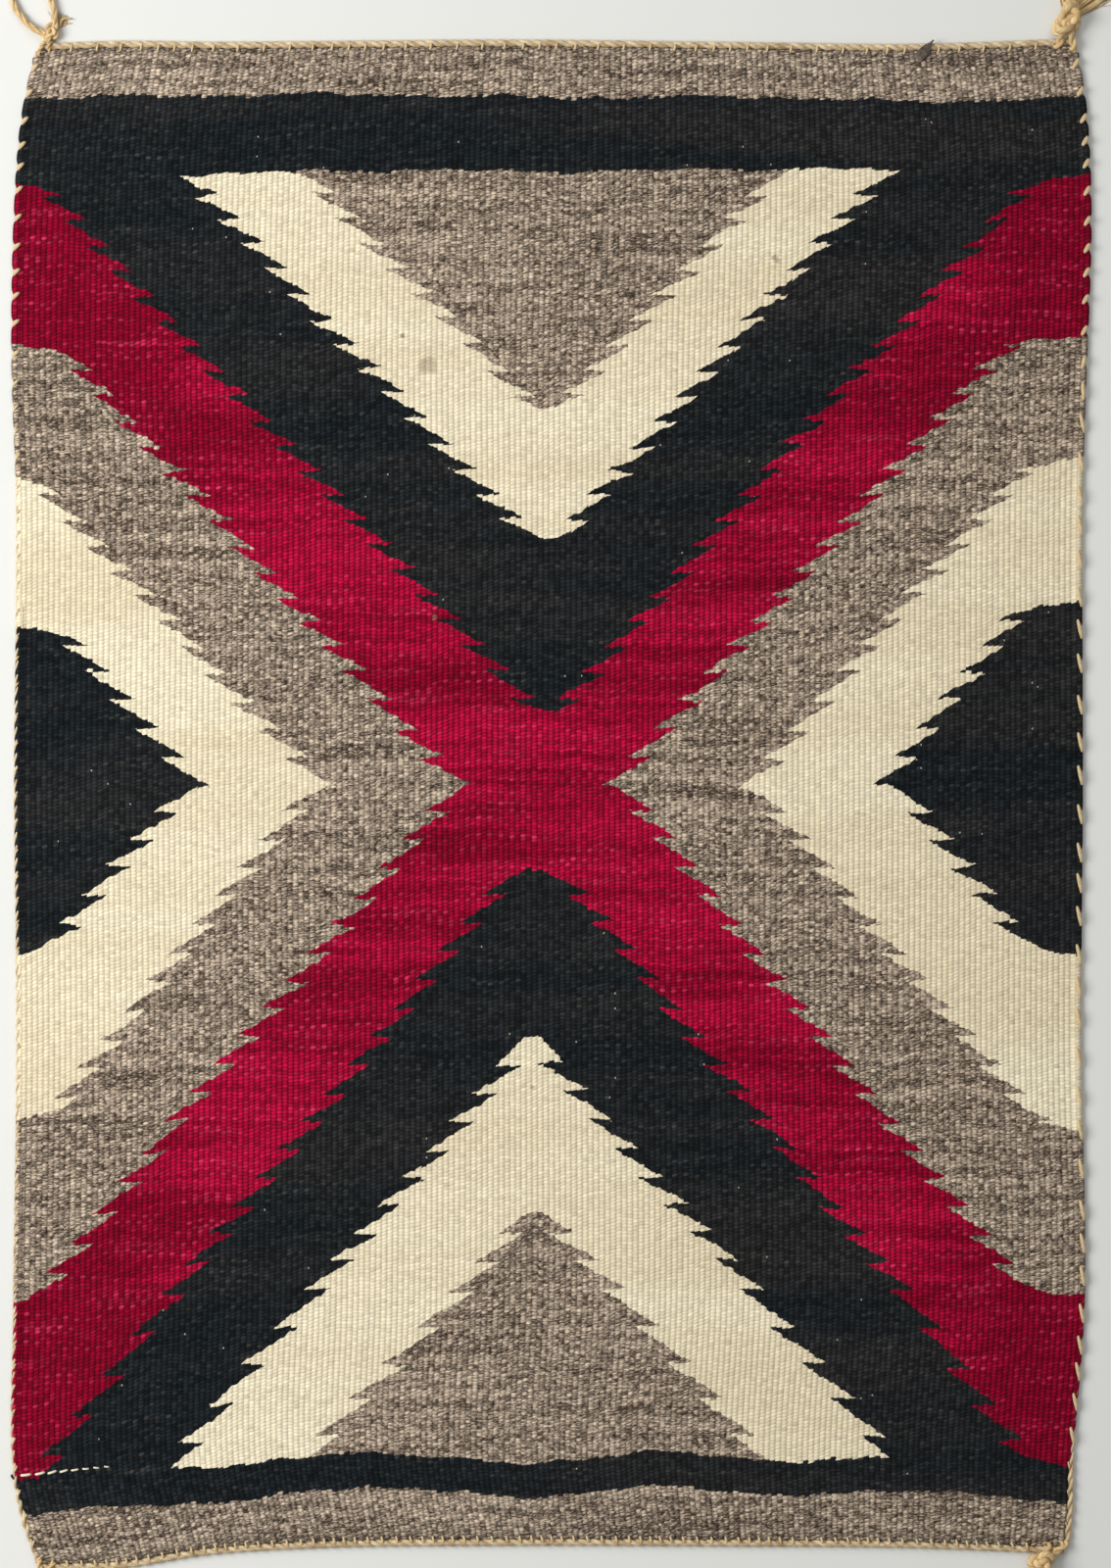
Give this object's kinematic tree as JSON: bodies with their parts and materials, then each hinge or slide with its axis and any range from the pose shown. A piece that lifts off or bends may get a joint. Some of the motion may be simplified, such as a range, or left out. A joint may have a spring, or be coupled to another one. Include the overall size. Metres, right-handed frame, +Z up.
{
  "type": "navajo rug",
  "caption": "Small hand-woven wool tapestry rug lying flat, its edges finished with twined cords and its corners with knotted cord ends.",
  "frame": {"origin": "on the underside, under the middle of the whole part's box, corner ties included", "axes": "+X across the rug along the wefts, +Y along the warps from the foot edge to the head edge, +Z up out of the face that shows"},
  "size_m": [0.6504, 0.9676, 0.0133],
  "materials": {
    "woven_wool": "ribbed weft-faced wool weave",
    "cord_wool": "twisted tan wool cord",
    "tie_wool": "knotted tan wool cord",
    "grey_wool": "loose grey wool yarn"
  },
  "bodies": {
    "root": {"woven_field": "woven_wool", "end_cord_head": "cord_wool", "end_cord_foot": "cord_wool", "side_cord_left": "cord_wool", "side_cord_right": "cord_wool", "corner_tie_head_left": "tie_wool", "corner_tie_head_right": "tie_wool", "corner_tie_foot_left": "tie_wool", "corner_tie_foot_right": "tie_wool", "loose_weft_end": "grey_wool"}
  },
  "joints": []
}
